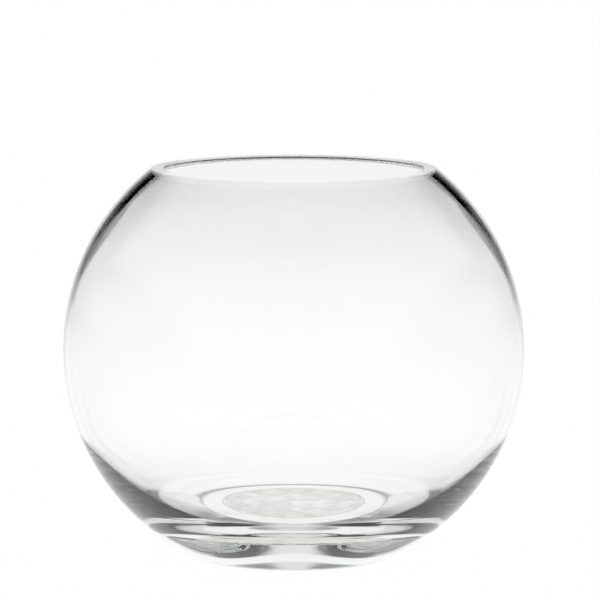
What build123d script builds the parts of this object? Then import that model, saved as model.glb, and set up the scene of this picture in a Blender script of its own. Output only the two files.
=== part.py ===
"""Rose bowl vase: a ball of clear blown glass with a cut rim, a thick floor and a round label under its foot."""
import os
from math import asin, atan2, cos, degrees, radians, sin, sqrt

from build123d import *

# Outside of the glass, in millimetres. The origin is on the table, under the middle of the foot.
BOWL_DIAMETER = 165.0    # the ball at its belly
RIM_DIAMETER = 101.6     # outer edge of the cut rim, before its arris
FOOT_DIAMETER = 65.2     # the flat that the bowl stands on
HEEL_RADIUS = 8.0        # rounding from the flat into the ball
RIM_ARRIS = 0.6          # fire-polished edges of the cut rim

# Inside of the glass. Angles are seen from the ball's centre, above or below its belly.
RIM_WALL = 3.4           # wall near the rim, square to the glass
BELLY_WALL = 2.15        # wall around the belly, where the blown glass is thinnest
HIP_WALL = 4.5           # wall where it runs into the floor's corner
NECK_ANGLE = 42.0        # the wall keeps its rim thickness from this angle up
SHOULDER_ANGLE = 13.0    # the wall keeps its belly thickness between this angle above the belly
HIP_ANGLE = 22.0         # and this angle below it
HIP_POWER = 1.5          # how the wall thickens below that angle: 1 is a straight wedge, 2 a slow start
FLOOR_THICKNESS = 17.0   # solid glass under the middle of the floor
FLOOR_RADIUS = 1800.0    # the floor is domed by a hair, with this radius
CORNER_RISE = 5.3        # height of the top of the floor's rounded corner over the floor's middle

# Label, stuck in a shallow recess so that the foot's ring carries the bowl and not the label
LABEL_DIAMETER = 50.8
LABEL_THICKNESS = 0.15
LABEL_MARGIN = 0.6       # bare glass between the label's edge and the recess wall
RECESS_DEPTH = 0.6

# Points on each stretch of wall that changes its thickness
EASE_POINTS = 9

ball_radius = BOWL_DIAMETER / 2
rim_radius = RIM_DIAMETER / 2
foot_radius = FOOT_DIAMETER / 2
recess_radius = LABEL_DIAMETER / 2 + LABEL_MARGIN

# The heel's arc lies inside the ball and touches both it and the table, which sets the ball's height.
ball_height = HEEL_RADIUS + sqrt((ball_radius - HEEL_RADIUS) ** 2 - foot_radius**2)
rim_height = ball_height + sqrt(ball_radius**2 - rim_radius**2)


def on_ball(radius, angle):
    """Point of the section at a distance from the ball's centre, at an angle above the belly."""
    return (radius * cos(radians(angle)), ball_height + radius * sin(radians(angle)))


def angle_from(centre, point):
    """Direction from one point of the section to another, in degrees above level."""
    return degrees(atan2(point[1] - centre[1], point[0] - centre[0]))


def unit(angle):
    """Direction in the section at an angle above level."""
    return (cos(radians(angle)), sin(radians(angle)))


def arc_between(centre, radius, start, end):
    """Arc of the section about a centre, from one angle to another."""
    return CenterArc(centre, radius, start, end - start)


def revolved(edges):
    """Solid of revolution about the bowl's axis from the edges of half a section."""
    return revolve(Plane.XZ * make_face(edges), Axis.Z)


def shoulder_wall(angle):
    """Wall thickness on the shoulder: it grows from the belly's to the rim's with no kink at either end."""
    along = (angle - SHOULDER_ANGLE) / (NECK_ANGLE - SHOULDER_ANGLE)
    return BELLY_WALL + (RIM_WALL - BELLY_WALL) * along**2 * (3 - 2 * along)


def hip_wall(angle, corner_angle):
    """Wall thickness on the hip: it grows from the belly's down to the floor's corner."""
    along = (angle + HIP_ANGLE) / (corner_angle + HIP_ANGLE)
    return BELLY_WALL + (HIP_WALL - BELLY_WALL) * along**HIP_POWER


def steps_between(start, end):
    """Angles from start to end in even steps, both included."""
    return [start + (end - start) * i / (EASE_POINTS - 1) for i in range(EASE_POINTS)]


def make_blank():
    """The ball as if solid, with its flat foot, rounded heel and cut top."""
    centre = (0, ball_height)
    heel_centre = (foot_radius, HEEL_RADIUS)
    heel_angle = angle_from(centre, heel_centre)
    rim_angle = angle_from(centre, (rim_radius, rim_height))
    return revolved([
        Line((0, 0), (foot_radius, 0)),
        arc_between(heel_centre, HEEL_RADIUS, -90, heel_angle),
        arc_between(centre, ball_radius, heel_angle, rim_angle),
        Line((rim_radius, rim_height), (0, rim_height)),
        Line((0, rim_height), (0, 0)),
    ])


def make_cavity():
    """The hollow, closed above the rim: domed floor, its corner, hip, belly, shoulder and neck."""
    centre = (0, ball_height)
    belly_radius = ball_radius - BELLY_WALL
    neck_radius = ball_radius - RIM_WALL

    # The hip ends at the corner's top, at the height where the wall has its full hip thickness.
    hip_radius = ball_radius - HIP_WALL
    corner_angle = -degrees(asin((ball_height - FLOOR_THICKNESS - CORNER_RISE) / hip_radius))
    corner_top = on_ball(hip_radius, corner_angle)
    span = -HIP_ANGLE - corner_angle
    lean = degrees(atan2(HIP_POWER * (HIP_WALL - BELLY_WALL), radians(span) * hip_radius))
    wall_up = corner_angle + 90 - lean

    # The corner's arc meets the hip and the floor's arc without a kink: it touches the floor's circle from outside.
    inward = unit(wall_up + 90)
    floor_centre = (0, FLOOR_THICKNESS - FLOOR_RADIUS)
    reach = (corner_top[0], corner_top[1] - floor_centre[1])
    along = reach[0] * inward[0] + reach[1] * inward[1]
    corner_radius = (reach[0] ** 2 + reach[1] ** 2 - FLOOR_RADIUS**2) / (2 * (FLOOR_RADIUS - along))
    corner_centre = (corner_top[0] + corner_radius * inward[0], corner_top[1] + corner_radius * inward[1])
    floor_angle = angle_from(floor_centre, corner_centre)

    hip_angles = steps_between(corner_angle, -HIP_ANGLE)
    hip = [on_ball(ball_radius - hip_wall(angle, corner_angle), angle) for angle in hip_angles]
    hip_ends = [unit(wall_up), unit(90 - HIP_ANGLE)]
    shoulder_angles = steps_between(SHOULDER_ANGLE, NECK_ANGLE)
    shoulder = [on_ball(ball_radius - shoulder_wall(angle), angle) for angle in shoulder_angles]
    shoulder_ends = [unit(90 + SHOULDER_ANGLE), unit(90 + NECK_ANGLE)]
    return revolved([
        arc_between(floor_centre, FLOOR_RADIUS, 90, floor_angle),
        arc_between(corner_centre, corner_radius, floor_angle - 180, wall_up - 90),
        Spline(*hip, tangents=hip_ends),
        arc_between(centre, belly_radius, -HIP_ANGLE, SHOULDER_ANGLE),
        Spline(*shoulder, tangents=shoulder_ends),
        arc_between(centre, neck_radius, NECK_ANGLE, 90),
        Line((0, ball_height + neck_radius), (0, FLOOR_THICKNESS)),
    ])


def make_glass_bowl():
    """The whole glass: the blank less its hollow and the label's recess, with both rim edges rounded."""
    recess = Cylinder(recess_radius, RECESS_DEPTH, align=(Align.CENTER, Align.CENTER, Align.MIN))
    glass = make_blank() - make_cavity() - recess
    rim_face = glass.faces().sort_by(Axis.Z)[-1]
    return fillet(rim_face.edges(), RIM_ARRIS)


def make_base_label():
    """Round self-adhesive label, its sticky side on the roof of the recess."""
    label = Cylinder(LABEL_DIAMETER / 2, LABEL_THICKNESS, align=(Align.CENTER, Align.CENTER, Align.MAX))
    return Pos(0, 0, RECESS_DEPTH) * label


os.makedirs("parts", exist_ok=True)
export_step(make_glass_bowl(), "parts/glass_bowl.step")
export_step(make_base_label(), "parts/base_label.step")
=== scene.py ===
"""Rose bowl vase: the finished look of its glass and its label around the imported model."""
from collections import namedtuple
from math import asin, atan2, cos, hypot, log2, pi, radians, sin, sqrt

import bmesh
import bpy
from bpy.props import FloatProperty, FloatVectorProperty, IntProperty, PointerProperty
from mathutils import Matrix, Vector


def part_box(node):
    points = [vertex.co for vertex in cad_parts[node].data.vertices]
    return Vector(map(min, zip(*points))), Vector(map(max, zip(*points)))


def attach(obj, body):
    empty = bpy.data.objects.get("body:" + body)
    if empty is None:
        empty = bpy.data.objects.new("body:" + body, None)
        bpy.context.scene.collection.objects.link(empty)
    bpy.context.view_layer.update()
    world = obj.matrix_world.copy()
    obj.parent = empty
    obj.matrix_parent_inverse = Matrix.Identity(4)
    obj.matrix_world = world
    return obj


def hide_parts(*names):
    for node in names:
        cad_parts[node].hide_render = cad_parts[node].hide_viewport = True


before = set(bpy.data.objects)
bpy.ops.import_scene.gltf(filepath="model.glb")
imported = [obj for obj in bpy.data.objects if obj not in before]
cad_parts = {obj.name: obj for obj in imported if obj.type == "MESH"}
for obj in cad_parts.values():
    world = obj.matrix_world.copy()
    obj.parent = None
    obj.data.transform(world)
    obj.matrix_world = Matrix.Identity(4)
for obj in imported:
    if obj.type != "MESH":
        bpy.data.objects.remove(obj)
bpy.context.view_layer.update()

bl_info = {
    "name": "Rose bowl vase",
    "version": (1, 0, 0),
    "blender": (4, 5, 0),
    "location": "3D View > Sidebar > Rose bowl",
    "description": "Builds a clear glass rose bowl with the label under its foot, and a white studio around it",
    "category": "Add Mesh",
}

MM = 0.001
DECIMETRE = 0.1
GLASS_LOW, GLASS_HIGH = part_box("glass_bowl")
LABEL_LOW, LABEL_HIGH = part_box("base_label")

# Meshes: vertices nearer than this are one, and a flat has extra vertices this close to its ends
MERGE = 0.002 * MM
FLAT_MARGIN = 0.05 * MM
# Steps along the arcs of the glass section, and round the label
RECESS_STEPS, HEEL_STEPS, BALL_STEPS, ARRIS_STEPS = 5, 10, 150, 8
WALL_STEPS, CORNER_STEPS, FLOOR_STEPS = 130, 26, 12
LABEL_STEPS = 160

# Inputs and outputs of a Mix node, whose names repeat
FACTOR, FIRST, SECOND, FIRST_COLOUR, SECOND_COLOUR = 0, 2, 3, 6, 7
MIXED, MIXED_COLOUR = 0, 2

# The studio's walls: angle from straight behind the bowl in degrees, brightness there, and the height above level in
# degrees at which the wall has gone dark
WALLS = ((0, 0.87, 16), (9, 0.75, 7), (14, 0.59, 6), (18, 0.42, 6), (22, 0.38, 6), (26, 0.70, 11), (29, 0.84, 27),
         (33, 0.75, 28), (40, 0.72, 30), (50, 0.80, 42), (65, 0.88, 58), (85, 0.93, 75), (110, 0.98, 90),
         (140, 1.0, 100), (180, 1.0, 110))
TABLE_DROP = 0.05 * MM    # the table lies this far under the foot
TABLE_GLOW = 0.93         # share of its white that the table gives the camera of itself; the rest takes the shadow
SENSOR_WIDTH = 36.0       # of the camera, in millimetres
SIGHT = 100.0             # how far the camera sees, in metres


def to_linear(colour):
    """An sRGB hex colour as the linear red, green and blue that Blender works in."""
    shares = [int(colour[i:i + 2], 16) / 255 for i in (1, 3, 5)]
    return [c / 12.92 if c <= 0.04045 else ((c + 0.055) / 1.055) ** 2.4 for c in shares]


def length(name, description, default):
    """A size that a user may change, in metres."""
    return FloatProperty(name=name, description=description, default=default, min=0.0, precision=5, unit="LENGTH")


def turn(name, description, default):
    """An angle that a user may change, given in degrees."""
    return FloatProperty(name=name, description=description, default=radians(default), unit="ROTATION")


def share(name, description, default):
    """A share or a brightness that a user may change, from 0 to 1."""
    return FloatProperty(name=name, description=description, default=default, min=0.0, max=1.0, subtype="FACTOR")


def paint(name, description, default):
    """A colour that a user may change, given as an sRGB hex value."""
    return FloatVectorProperty(name=name, description=description, default=to_linear(default), size=3, min=0, max=1,
                               subtype="COLOR")


# ---------------------------------------------------------------- what a user would change


class GlassSettings(bpy.types.PropertyGroup):
    """Sizes and colour of the glass. Angles are seen from the ball's centre, above or below its belly."""
    ball: length("Ball", "Width of the ball at its belly", GLASS_HIGH.x - GLASS_LOW.x)
    rim: length("Rim", "Width of the cut rim, outside", 101.6 * MM)
    foot: length("Foot", "Width of the flat that the bowl stands on", 65.2 * MM)
    heel: length("Heel", "Radius between the foot's flat and the ball", 8.0 * MM)
    arris: length("Arris", "Radius of the rim's two rounded edges", 0.6 * MM)
    rim_matt: share("Rim matt", "Share of the light that the fine-ground rim scatters", 0.5)
    rim_wall: length("Rim wall", "Thickness of the glass near the rim", 3.4 * MM)
    belly_wall: length("Belly wall", "Thickness of the glass round the belly", 2.15 * MM)
    hip_wall: length("Hip wall", "Thickness of the glass where it runs into the floor", 4.5 * MM)
    neck: turn("Neck", "The rim's thickness holds from this angle up", 42)
    shoulder: turn("Shoulder", "The belly's thickness starts at this angle above it", 13)
    hip: turn("Hip", "The belly's thickness ends at this angle below it", 22)
    hip_power: FloatProperty(
        name="Hip power", description="1 thickens the hip evenly, 2 slowly at first", default=1.5)
    floor: length("Floor", "Solid glass under the middle of the floor", 17.0 * MM)
    dome: length("Dome", "Radius of the floor's faint dome", 1.8)
    corner: length("Corner", "Height of the top of the floor's rounded corner over the floor's middle", 5.3 * MM)
    recess: length("Recess", "Width of the label's recess under the foot", 52.0 * MM)
    recess_depth: length("Recess depth", "Depth of the label's recess", LABEL_HIGH.z)
    recess_round: length("Recess round", "Radius of the recess's moulded edges", 0.15 * MM)
    around: IntProperty(name="Around", description="Steps round the bowl", default=240, min=24)
    colour: paint("Glass", "Colour left in white light by a decimetre of glass", "#F2F4F3")
    wave: length("Wave", "Height of the faint waves that blowing leaves in the glass", 0.0006 * MM)
    wave_spacing: length("Wave spacing", "Distance from wave to wave", 28.0 * MM)


class LabelSettings(bpy.types.PropertyGroup):
    """Sizes and colours of the round paper label."""
    width: length("Width", "Width of the label", LABEL_HIGH.x - LABEL_LOW.x)
    cut: length("Cut", "Radius of the die-cut edge", 0.03 * MM)
    bond: length("Bond", "How far the adhesive wets into the glass, so that no air shows between", 0.01 * MM)
    paper: paint("Paper", "Plain paper", "#E1E1DB")
    # the paper turns to this paler colour in clouds that a noise lays at random
    bloom: paint("Bloom", "Paper where the adhesive holds best", "#FCFCFA")
    cloud: length("Cloud", "Size of the patches that the adhesive makes", 7.0 * MM)
    fibre: length("Fibre", "Length of the paper's flecks", 0.9 * MM)
    fleck: share("Fleck", "How far a fleck changes the mix of the two colours", 0.15)
    tooth: length("Tooth", "Height of the fibres on the paper's face", 0.02 * MM)


class StudioSettings(bpy.types.PropertyGroup):
    """Table, light and camera."""
    table: length("Table", "Half the width of the table", 9.0)
    table_white: length("Table white", "The table is white to the glass up to this far from the bowl", 0.3)
    table_dim: length("Table dim", "From here out the table is as bright as the walls", 4.6)
    # painted shade: where the grey ring painted on the table round the foot is darkest, where it ends, and how dark it
    # is
    gap: length("Gap", "The heel's shade on the table is darkest this far from the axis", 35.4 * MM)
    painted_shade_end: length("Gap end", "The heel's shade has ended this far from the axis", 38.5 * MM)
    painted_shade_level: share("Gap level", "Brightness of the table where the shade is darkest", 0.2)
    card: turn("Card", "The white card behind the bowl is bright up to this angle from its middle", 4)
    card_edge: turn("Card edge", "The card has ended here", 13.5)
    card_top: turn("Card top", "The card has faded out at this height above level", 75)
    card_level: share("Card level", "Brightness of the card", 0.88)
    fade: share("Fade", "Share of its height at which a wall or the card starts to darken", 0.45)
    turns: IntProperty(
        name="Turns", description="Mirrored this often inside the glass, light finds dark side walls", default=6)
    side: turn("Side", "The side walls are dark to such light up to this angle from straight behind the bowl", 120)
    side_end: turn("Side end", "From this angle on the walls are bright to such light too", 150)
    distance: length("Distance", "From the camera to the bowl's axis, level", 1934.5 * MM)
    rise: length("Rise", "From the ball's centre up to the camera", 250.0 * MM)
    centre_x: share("Centre X", "Where the ball's centre lies across the picture", 0.4895)
    centre_y: share("Centre Y", "Where the ball's centre lies down the picture", 0.5805)
    picture: length("Picture", "Width of the view at the bowl", 214.94 * MM)


# ---------------------------------------------------------------- helpers


def add_node(tree, kind, inputs=None, **settings):
    """Adds a node with its settings, and fills its inputs with values or with links from other nodes' outputs."""
    node = tree.nodes.new(kind)
    for name, value in settings.items():
        setattr(node, name, value)
    for socket, value in (inputs or {}).items():
        if isinstance(value, bpy.types.NodeSocket):
            tree.links.new(value, node.inputs[socket])
        else:
            node.inputs[socket].default_value = value
    return node


def bare_tree(owner):
    """The emptied node tree of a material or a world."""
    owner.use_nodes = True
    owner.node_tree.nodes.clear()
    return owner.node_tree


def finished(bm, name, material, smooth):
    """Closes a mesh's seams, turns its faces outwards and makes it an object with its material."""
    bmesh.ops.remove_doubles(bm, verts=bm.verts, dist=MERGE)
    bmesh.ops.dissolve_degenerate(bm, edges=bm.edges, dist=MERGE)
    bmesh.ops.recalc_face_normals(bm, faces=bm.faces)
    for face in bm.faces:
        face.smooth = smooth
    mesh = bpy.data.meshes.new(name)
    bm.to_mesh(mesh)
    bm.free()
    mesh.materials.append(material)
    piece = bpy.data.objects.new(name, mesh)
    bpy.context.scene.collection.objects.link(piece)
    return piece


# ---------------------------------------------------------------- glass


def carry_arc(bm, last, centre, start, end, steps):
    """Carries a section on from its last vertex along an arc about a centre; angles are above level, in radians."""
    geom = bmesh.ops.spin(bm, geom=[last], cent=(centre[0], 0, centre[1]), axis=(0, -1, 0), angle=end - start,
                          steps=steps, use_merge=False, use_duplicate=False)["geom_last"]
    return next(part for part in geom if isinstance(part, bmesh.types.BMVert))


def carry_line(bm, last, end):
    """Carries a section on along a straight line. A vertex close to either end keeps the face between them flat."""
    end = Vector((end[0], 0, end[1]))
    start, way = last.co.copy(), (end - last.co).normalized()
    for place in (start + way * FLAT_MARGIN, end - way * FLAT_MARGIN, end):
        last = bmesh.ops.extrude_vert_indiv(bm, verts=[last])["verts"][0]
        last.co = place
    return last


class GlassSection:
    """The bowl's section worked out from its sizes: centres, radii and angles of its arcs."""

    def __init__(self, s):
        self.s = s
        self.ball = s.ball / 2
        foot = s.foot / 2
        self.height = s.heel + sqrt((self.ball - s.heel) ** 2 - foot**2)
        self.top = self.height + sqrt(self.ball**2 - (s.rim / 2) ** 2)
        self.centre = (0.0, self.height)
        self.heel_centre = (foot, s.heel)
        self.heel_angle = self.angle_of(self.heel_centre)
        # the rim's two edges lie against the flat on top and against the outside or inside of the ball
        self.outer_edge = self.on_level(self.ball - s.arris, self.top - s.arris)
        self.inner_edge = self.on_level(self.ball - s.rim_wall + s.arris, self.top - s.arris)
        # the floor's corner starts where the wall has its full hip thickness
        hip_radius = self.ball - s.hip_wall
        self.corner_angle = -asin((self.height - s.floor - s.corner) / hip_radius)
        span = -s.hip - self.corner_angle
        lean = atan2(s.hip_power * (s.hip_wall - s.belly_wall), span * hip_radius)
        self.corner_start = self.corner_angle - lean
        inward = (-cos(self.corner_start), -sin(self.corner_start))
        corner_top = (hip_radius * cos(self.corner_angle), self.height + hip_radius * sin(self.corner_angle))
        # the corner's arc touches the circle of the floor's dome from outside
        self.dome_centre = (0.0, s.floor - s.dome)
        up = corner_top[1] - self.dome_centre[1]
        along = corner_top[0] * inward[0] + up * inward[1]
        corner_radius = (corner_top[0] ** 2 + up**2 - s.dome**2) / (2 * (s.dome - along))
        self.corner_centre = (corner_top[0] + corner_radius * inward[0], corner_top[1] + corner_radius * inward[1])
        self.dome_angle = atan2(self.corner_centre[1] - self.dome_centre[1], self.corner_centre[0])

    def angle_of(self, point):
        """Angle of a point above the belly, seen from the ball's centre."""
        return atan2(point[1] - self.height, point[0])

    def on_level(self, radius, z):
        """Point at a distance from the ball's centre and at a height."""
        return (sqrt(radius**2 - (z - self.height) ** 2), z)

    def wall(self, angle):
        """Thickness of the glass at an angle above the belly."""
        s = self.s
        if angle < -s.hip:
            along = min((-s.hip - angle) / (-s.hip - self.corner_angle), 1)
            return s.belly_wall + (s.hip_wall - s.belly_wall) * along**s.hip_power
        along = min(max((angle - s.shoulder) / (s.neck - s.shoulder), 0), 1)
        return s.belly_wall + (s.rim_wall - s.belly_wall) * along**2 * (3 - 2 * along)


def draw_section(bm, g):
    """Draws half the bowl's section, from the axis under the foot round by the rim to the axis on the floor."""
    s = g.s
    recess, edge, roof = s.recess / 2, s.recess_round, s.recess_depth
    last = bm.verts.new((0, 0, roof))
    last = carry_line(bm, last, (recess - edge, roof))
    last = carry_arc(bm, last, (recess - edge, roof - edge), pi / 2, 0, RECESS_STEPS)
    last = carry_line(bm, last, (recess, edge))
    last = carry_arc(bm, last, (recess + edge, edge), pi, 3 * pi / 2, RECESS_STEPS)
    last = carry_line(bm, last, (g.heel_centre[0], 0))
    last = carry_arc(bm, last, g.heel_centre, -pi / 2, g.heel_angle, HEEL_STEPS)
    outer = g.angle_of(g.outer_edge)
    last = carry_arc(bm, last, g.centre, g.heel_angle, outer, BALL_STEPS)
    last = carry_arc(bm, last, g.outer_edge, outer, pi / 2, ARRIS_STEPS)
    last = carry_line(bm, last, (g.inner_edge[0], g.top))
    inner = g.angle_of(g.inner_edge)
    last = carry_arc(bm, last, g.inner_edge, pi / 2, inner + pi, ARRIS_STEPS)
    # the inside starts as one arc at the rim's thickness, and each point then moves to its own thickness
    before = set(bm.verts)
    last = carry_arc(bm, last, g.centre, inner, g.corner_angle, WALL_STEPS)
    for vert in set(bm.verts) - before:
        angle = g.angle_of((vert.co.x, vert.co.z))
        reach = g.ball - g.wall(angle)
        vert.co = (reach * cos(angle), 0, g.height + reach * sin(angle))
    last = carry_arc(bm, last, g.corner_centre, g.corner_start, g.dome_angle - pi, CORNER_STEPS)
    carry_arc(bm, last, g.dome_centre, g.dome_angle, pi / 2, FLOOR_STEPS)


def blown_glass(s):
    """Clear soda-lime glass, blown and fire-polished, its rim cut and fine-ground: sharp reflections, dark where it is
    seen edge on, a breath of green in the thick foot, a pale matt rim, and waves that show only in the lines they
    bend."""
    material = bpy.data.materials.new("clear_blown_glass")
    tree = bare_tree(material)
    place = add_node(tree, "ShaderNodeTexCoord")
    waves = add_node(tree, "ShaderNodeTexNoise", {
        "Vector": place.outputs["Object"], "Scale": 1 / s.wave_spacing, "Detail": 1.0, "Roughness": 0.4})
    bump = add_node(tree, "ShaderNodeBump", {
        "Height": waves.outputs["Fac"], "Strength": 1.0, "Distance": s.wave})
    # the ground finish ends on the arrises
    axes = add_node(tree, "ShaderNodeSeparateXYZ", {"Vector": place.outputs["Object"]})
    clear = add_node(tree, "ShaderNodeMapRange", {
        "Value": axes.outputs["Z"], "From Min": GLASS_HIGH.z - s.arris, "From Max": GLASS_HIGH.z - s.arris / 2,
        "To Min": 1.0, "To Max": 1 - s.rim_matt})
    shader = add_node(tree, "ShaderNodeBsdfPrincipled", {
        "Base Color": (1, 1, 1, 1), "Roughness": 0.0, "IOR": 1.51, "Transmission Weight": clear.outputs["Result"],
        "Normal": bump.outputs["Normal"]})
    depth = add_node(tree, "ShaderNodeVolumeAbsorption", {"Color": (*s.colour, 1), "Density": 1 / DECIMETRE})
    add_node(tree, "ShaderNodeOutputMaterial", {
        "Surface": shader.outputs["BSDF"], "Volume": depth.outputs["Volume"]})
    return material


class AddGlassBowl(bpy.types.Operator):
    """Spins the bowl's section into one closed piece of glass"""
    bl_idname = "rose_bowl.glass_bowl"
    bl_label = "Glass bowl"
    bl_options = {"REGISTER", "UNDO"}

    def execute(self, context):
        s = context.scene.rose_bowl_glass
        bm = bmesh.new()
        draw_section(bm, GlassSection(s))
        bmesh.ops.spin(bm, geom=bm.verts[:] + bm.edges[:], cent=(0, 0, 0), axis=(0, 0, 1), angle=2 * pi,
                       steps=s.around, use_merge=True)
        bowl = finished(bm, "blown_glass_bowl", blown_glass(s), smooth=True)
        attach(bowl, "root")
        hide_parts("glass_bowl")
        return {"FINISHED"}


# ---------------------------------------------------------------- label


def label_paper(s):
    """Uncoated label paper seen from its sticky side: matt off-white, with paler clouds laid at random by a noise
    and fine flecks from its fibres."""
    material = bpy.data.materials.new("label_paper_matt")
    tree = bare_tree(material)
    place = add_node(tree, "ShaderNodeTexCoord")
    clouds = add_node(tree, "ShaderNodeTexNoise", {
        "Vector": place.outputs["Object"], "Scale": 1 / s.cloud, "Detail": 3.0, "Roughness": 0.6})
    patches = add_node(tree, "ShaderNodeMapRange", {
        "Value": clouds.outputs["Fac"], "From Min": 0.42, "From Max": 0.66}, interpolation_type="SMOOTHSTEP")
    fibres = add_node(tree, "ShaderNodeTexNoise", {
        "Vector": place.outputs["Object"], "Scale": 1 / s.fibre, "Detail": 2.0, "Roughness": 0.7, "Distortion": 1.5})
    flecks = add_node(tree, "ShaderNodeMapRange", {
        "Value": fibres.outputs["Fac"], "From Min": 0.3, "From Max": 0.7, "To Min": -s.fleck, "To Max": s.fleck})
    mixed = add_node(tree, "ShaderNodeMath", {
        0: patches.outputs["Result"], 1: flecks.outputs["Result"]}, operation="ADD", use_clamp=True)
    colour = add_node(tree, "ShaderNodeMix", {
        FACTOR: mixed.outputs["Value"], FIRST_COLOUR: (*s.paper, 1), SECOND_COLOUR: (*s.bloom, 1)}, data_type="RGBA")
    bump = add_node(tree, "ShaderNodeBump", {
        "Height": fibres.outputs["Fac"], "Strength": 0.3, "Distance": s.tooth})
    shader = add_node(tree, "ShaderNodeBsdfPrincipled", {
        "Base Color": colour.outputs[MIXED_COLOUR], "Roughness": 0.85, "IOR": 1.45,
        "Normal": bump.outputs["Normal"]})
    add_node(tree, "ShaderNodeOutputMaterial", {"Surface": shader.outputs["BSDF"]})
    return material


class AddBaseLabel(bpy.types.Operator):
    """Cuts the round label, its sticky side on the roof of the recess"""
    bl_idname = "rose_bowl.base_label"
    bl_label = "Base label"
    bl_options = {"REGISTER", "UNDO"}

    def execute(self, context):
        s = context.scene.rose_bowl_label
        bm = bmesh.new()
        disc = bmesh.ops.create_circle(bm, cap_ends=True, radius=s.width / 2, segments=LABEL_STEPS)
        bmesh.ops.translate(bm, verts=disc["verts"], vec=(0, 0, LABEL_LOW.z))
        grown = bmesh.ops.extrude_face_region(bm, geom=bm.faces[:], use_keep_orig=True)["geom"]
        lifted = [part for part in grown if isinstance(part, bmesh.types.BMVert)]
        bmesh.ops.translate(bm, verts=lifted, vec=(0, 0, LABEL_HIGH.z + s.bond - LABEL_LOW.z))
        edges = [edge for edge in bm.edges if edge.verts[0].co.z == edge.verts[1].co.z]
        bmesh.ops.bevel(bm, geom=edges, offset=s.cut, offset_type="OFFSET", affect="EDGES", segments=2, profile=0.5,
                        material=-1)
        label = finished(bm, "round_paper_label", label_paper(s), smooth=False)
        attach(label, "root")
        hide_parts("base_label")
        return {"FINISHED"}


# ---------------------------------------------------------------- stage

Walls = namedtuple("Walls", "near far card wall height")


def walls_around(tree, s, across, back):
    """What the glass sees in a direction, as node outputs: brightness of the table round the bowl and far out, of the
    card and of the wall, and the wall's height. All follow from the angle from straight behind the bowl."""
    angle = add_node(tree, "ShaderNodeMath", {0: across, 1: back}, operation="ARCTAN2")
    angle = add_node(tree, "ShaderNodeMath", {0: angle.outputs["Value"]}, operation="ABSOLUTE")
    half_turn = add_node(tree, "ShaderNodeMath", {0: angle.outputs["Value"], 1: pi}, operation="DIVIDE")
    ramp = add_node(tree, "ShaderNodeValToRGB", {"Fac": half_turn.outputs["Value"]})
    stops = ramp.color_ramp.elements
    ramp.color_ramp.interpolation = "EASE"
    while len(stops) < len(WALLS):
        stops.new(1.0)
    for stop, (degree, level, height) in zip(stops, WALLS):
        stop.position = degree / 180
        stop.color = (level, height / 180, 0, 1)
    wall = add_node(tree, "ShaderNodeSeparateColor", {"Color": ramp.outputs["Color"]})
    height = add_node(tree, "ShaderNodeMath", {0: wall.outputs["Green"], 1: pi}, operation="MULTIPLY")
    card = add_node(tree, "ShaderNodeMapRange", {
        "Value": angle.outputs["Value"], "From Min": s.card, "From Max": s.card_edge, "To Min": s.card_level,
        "To Max": 0.0}, interpolation_type="SMOOTHSTEP")
    # light that the thick base mirrored many times before it left finds table and walls beside the bowl dark
    rays = add_node(tree, "ShaderNodeLightPath")
    many = add_node(tree, "ShaderNodeMath", {
        0: rays.outputs["Glossy Depth"], 1: s.turns - 0.5}, operation="GREATER_THAN")
    front = add_node(tree, "ShaderNodeMapRange", {
        "Value": angle.outputs["Value"], "From Min": s.side, "From Max": s.side_end}, interpolation_type="SMOOTHSTEP")
    near = add_node(tree, "ShaderNodeMix", {
        FACTOR: many.outputs["Value"], FIRST: 1.0, SECOND: front.outputs["Result"]})
    beside = add_node(tree, "ShaderNodeMath", {
        0: wall.outputs["Red"], 1: near.outputs[MIXED]}, operation="MULTIPLY")
    far = add_node(tree, "ShaderNodeMath", {
        0: beside.outputs["Value"], 1: card.outputs["Result"]}, operation="MAXIMUM")
    return Walls(near.outputs[MIXED], far.outputs["Value"], card.outputs["Result"], beside.outputs["Value"],
                 height.outputs["Value"])


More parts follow.
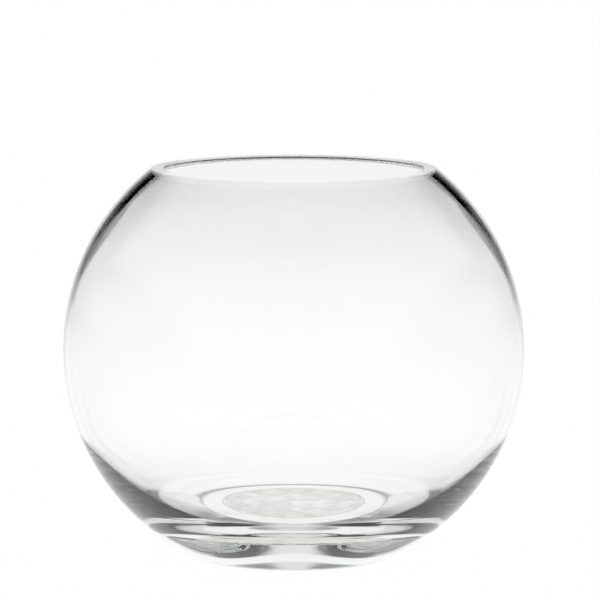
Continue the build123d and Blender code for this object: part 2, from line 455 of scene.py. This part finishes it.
def white_table(s, foot):
    """Matt white table. The camera sees it an even white with a soft shadow; the glass sees it white round the bowl,
    but for a painted shade ring round its heel, and as bright as the walls far out."""
    material = bpy.data.materials.new("white_table")
    tree = bare_tree(material)
    place = add_node(tree, "ShaderNodeTexCoord")
    axes = add_node(tree, "ShaderNodeSeparateXYZ", {"Vector": place.outputs["Object"]})
    walls = walls_around(tree, s, axes.outputs["X"], axes.outputs["Y"])
    reach = add_node(tree, "ShaderNodeVectorMath", {0: place.outputs["Object"]}, operation="LENGTH")
    doublings = add_node(tree, "ShaderNodeMath", {0: reach.outputs["Value"], 1: 2.0}, operation="LOGARITHM")
    out = add_node(tree, "ShaderNodeMapRange", {
        "Value": doublings.outputs["Value"], "From Min": log2(s.table_white), "From Max": log2(s.table_dim)},
        interpolation_type="SMOOTHSTEP")
    lit = add_node(tree, "ShaderNodeMix", {FACTOR: out.outputs["Result"], FIRST: walls.near, SECOND: walls.far})
    # painted shade: a grey ring round the foot, where little light would get in under the heel, is painted into the
    # table's brightness to the glass; light that is mirrored once, by the walls of the bowl, leaves it out
    inner = add_node(tree, "ShaderNodeMapRange", {
        "Value": reach.outputs["Value"], "From Min": foot, "From Max": s.gap, "To Min": 1.0, "To Max": s.painted_shade_level},
        interpolation_type="SMOOTHSTEP")
    outer = add_node(tree, "ShaderNodeMapRange", {
        "Value": reach.outputs["Value"], "From Min": s.gap, "From Max": s.painted_shade_end, "To Min": s.painted_shade_level,
        "To Max": 1.0}, interpolation_type="SMOOTHSTEP")
    shade = add_node(tree, "ShaderNodeMath", {
        0: inner.outputs["Result"], 1: outer.outputs["Result"]}, operation="MAXIMUM")
    rays = add_node(tree, "ShaderNodeLightPath")
    once = add_node(tree, "ShaderNodeMath", {0: rays.outputs["Glossy Depth"], 1: 1.0, 2: 0.5}, operation="COMPARE")
    shade = add_node(tree, "ShaderNodeMath", {
        0: shade.outputs["Value"], 1: once.outputs["Value"]}, operation="MAXIMUM")
    lit = add_node(tree, "ShaderNodeMath", {0: lit.outputs[MIXED], 1: shade.outputs["Value"]}, operation="MULTIPLY")
    # the table glows to glass, glows with a soft shadow to the camera, and is plain matt white to the label
    bent = add_node(tree, "ShaderNodeMath", {
        0: rays.outputs["Is Glossy Ray"], 1: rays.outputs["Is Transmission Ray"]}, operation="MAXIMUM")
    level = add_node(tree, "ShaderNodeMix", {FACTOR: bent.outputs["Value"], FIRST: 1.0, SECOND: lit.outputs["Value"]})
    straight = add_node(tree, "ShaderNodeMath", {
        0: rays.outputs["Is Camera Ray"], 1: TABLE_GLOW}, operation="MULTIPLY")
    glow = add_node(tree, "ShaderNodeMath", {
        0: straight.outputs["Value"], 1: bent.outputs["Value"]}, operation="MAXIMUM")
    matt = add_node(tree, "ShaderNodeBsdfDiffuse", {"Color": (0.95, 0.95, 0.95, 1)})
    white = add_node(tree, "ShaderNodeEmission", {"Color": (1, 1, 1, 1), "Strength": level.outputs[MIXED]})
    mixed = add_node(tree, "ShaderNodeMixShader", {
        0: glow.outputs["Value"], 1: matt.outputs["BSDF"], 2: white.outputs["Emission"]})
    add_node(tree, "ShaderNodeOutputMaterial", {"Surface": mixed.outputs["Shader"]})
    return material


def studio_room(s):
    """Studio room: even white to the camera and to matt surfaces. To the glass it is a white card behind the bowl, low
    grey walls beside it that rise and pale towards the front, and darkness above them."""
    world = bpy.data.worlds.new("studio_room")
    tree = bare_tree(world)
    place = add_node(tree, "ShaderNodeTexCoord")
    axes = add_node(tree, "ShaderNodeSeparateXYZ", {"Vector": place.outputs["Generated"]})
    walls = walls_around(tree, s, axes.outputs["X"], axes.outputs["Y"])
    rise = add_node(tree, "ShaderNodeMath", {0: axes.outputs["Z"]}, operation="ARCSINE")
    start = add_node(tree, "ShaderNodeMath", {0: walls.height, 1: s.fade}, operation="MULTIPLY")
    fade = add_node(tree, "ShaderNodeMapRange", {
        "Value": rise.outputs["Value"], "From Min": start.outputs["Value"], "From Max": walls.height, "To Min": 1.0,
        "To Max": 0.0}, interpolation_type="SMOOTHSTEP")
    room = add_node(tree, "ShaderNodeMath", {0: walls.wall, 1: fade.outputs["Result"]}, operation="MULTIPLY")
    top = add_node(tree, "ShaderNodeMapRange", {
        "Value": rise.outputs["Value"], "From Min": s.fade * s.card_top, "From Max": s.card_top, "To Min": 1.0,
        "To Max": 0.0}, interpolation_type="SMOOTHSTEP")
    card = add_node(tree, "ShaderNodeMath", {0: walls.card, 1: top.outputs["Result"]}, operation="MULTIPLY")
    around = add_node(tree, "ShaderNodeMath", {
        0: room.outputs["Value"], 1: card.outputs["Value"]}, operation="MAXIMUM")
    # only rays that glass has bent or mirrored see the room; matt surfaces and the camera see plain white
    rays = add_node(tree, "ShaderNodeLightPath")
    bent = add_node(tree, "ShaderNodeMath", {
        0: rays.outputs["Is Glossy Ray"], 1: rays.outputs["Is Transmission Ray"]}, operation="MAXIMUM")
    bent = add_node(tree, "ShaderNodeMath", {
        0: bent.outputs["Value"], 1: rays.outputs["Diffuse Depth"]}, operation="SUBTRACT", use_clamp=True)
    shown = add_node(tree, "ShaderNodeMix", {
        FACTOR: bent.outputs["Value"], FIRST: 1.0, SECOND: around.outputs["Value"]})
    light = add_node(tree, "ShaderNodeBackground", {"Color": (1, 1, 1, 1), "Strength": shown.outputs[MIXED]})
    add_node(tree, "ShaderNodeOutputWorld", {"Surface": light.outputs["Background"]})
    return world


def add_camera(s, target):
    """Camera at the viewing angle, aimed so that the ball's centre falls where the settings put it in the picture."""
    data = bpy.data.cameras.new("studio_camera")
    camera = bpy.data.objects.new("studio_camera", data)
    bpy.context.scene.collection.objects.link(camera)
    bpy.context.scene.camera = camera
    reach = hypot(s.distance, s.rise)
    data.sensor_width = SENSOR_WIDTH
    data.lens = SENSOR_WIDTH * reach / s.picture
    data.clip_end = SIGHT
    camera.location = target + Vector((0, -s.distance, s.rise))
    forward = Vector((0, s.distance, -s.rise)).normalized()
    right = Vector((1, 0, 0))
    up = right.cross(forward)
    aim = forward * reach + right * ((0.5 - s.centre_x) * s.picture) + up * ((s.centre_y - 0.5) * s.picture)
    camera.rotation_mode = "QUATERNION"
    camera.rotation_quaternion = aim.to_track_quat("-Z", "Y")


class AddStudio(bpy.types.Operator):
    """Sets the white table, the light and the camera"""
    bl_idname = "rose_bowl.studio"
    bl_label = "Studio"
    bl_options = {"REGISTER", "UNDO"}

    def execute(self, context):
        s = context.scene.rose_bowl_studio
        glass = context.scene.rose_bowl_glass
        context.scene.view_settings.view_transform = "Standard"
        # the thick base mirrors light many times inside it before it lets it out, and the label under it stays bright
        # only if glass isn't blurred to matt surfaces
        context.scene.cycles.max_bounces = 48
        context.scene.cycles.glossy_bounces = 30
        context.scene.cycles.transmission_bounces = 16
        context.scene.cycles.blur_glossy = 0.0
        bm = bmesh.new()
        bmesh.ops.create_grid(bm, size=s.table)
        bmesh.ops.translate(bm, verts=bm.verts, vec=(0, 0, -TABLE_DROP))
        finished(bm, "white_table", white_table(s, glass.foot / 2), smooth=False)
        context.scene.world = studio_room(s)
        add_camera(s, Vector((0, 0, GlassSection(glass).height)))
        return {"FINISHED"}


# ---------------------------------------------------------------- add-on


class RoseBowlPanel(bpy.types.Panel):
    """Pieces of the rose bowl and their sizes"""
    bl_idname = "VIEW3D_PT_rose_bowl"
    bl_label = "Rose bowl"
    bl_space_type = "VIEW_3D"
    bl_region_type = "UI"
    bl_category = "Rose bowl"

    def draw(self, context):
        groups = (
            (AddGlassBowl, context.scene.rose_bowl_glass),
            (AddBaseLabel, context.scene.rose_bowl_label),
            (AddStudio, context.scene.rose_bowl_studio),
        )
        for operator, settings in groups:
            box = self.layout.box()
            box.operator(operator.bl_idname)
            for name in settings.bl_rna.properties.keys():
                if name not in ("rna_type", "name"):
                    box.prop(settings, name)


CLASSES = (GlassSettings, LabelSettings, StudioSettings, AddGlassBowl, AddBaseLabel, AddStudio, RoseBowlPanel)


def register():
    for one in CLASSES:
        bpy.utils.register_class(one)
    bpy.types.Scene.rose_bowl_glass = PointerProperty(type=GlassSettings)
    bpy.types.Scene.rose_bowl_label = PointerProperty(type=LabelSettings)
    bpy.types.Scene.rose_bowl_studio = PointerProperty(type=StudioSettings)


def unregister():
    del bpy.types.Scene.rose_bowl_studio
    del bpy.types.Scene.rose_bowl_label
    del bpy.types.Scene.rose_bowl_glass
    for one in reversed(CLASSES):
        bpy.utils.unregister_class(one)


def main():
    """Builds the pieces in order."""
    register()
    bpy.ops.rose_bowl.glass_bowl()
    bpy.ops.rose_bowl.base_label()
    bpy.ops.rose_bowl.studio()


if __name__ == "__main__":
    main()
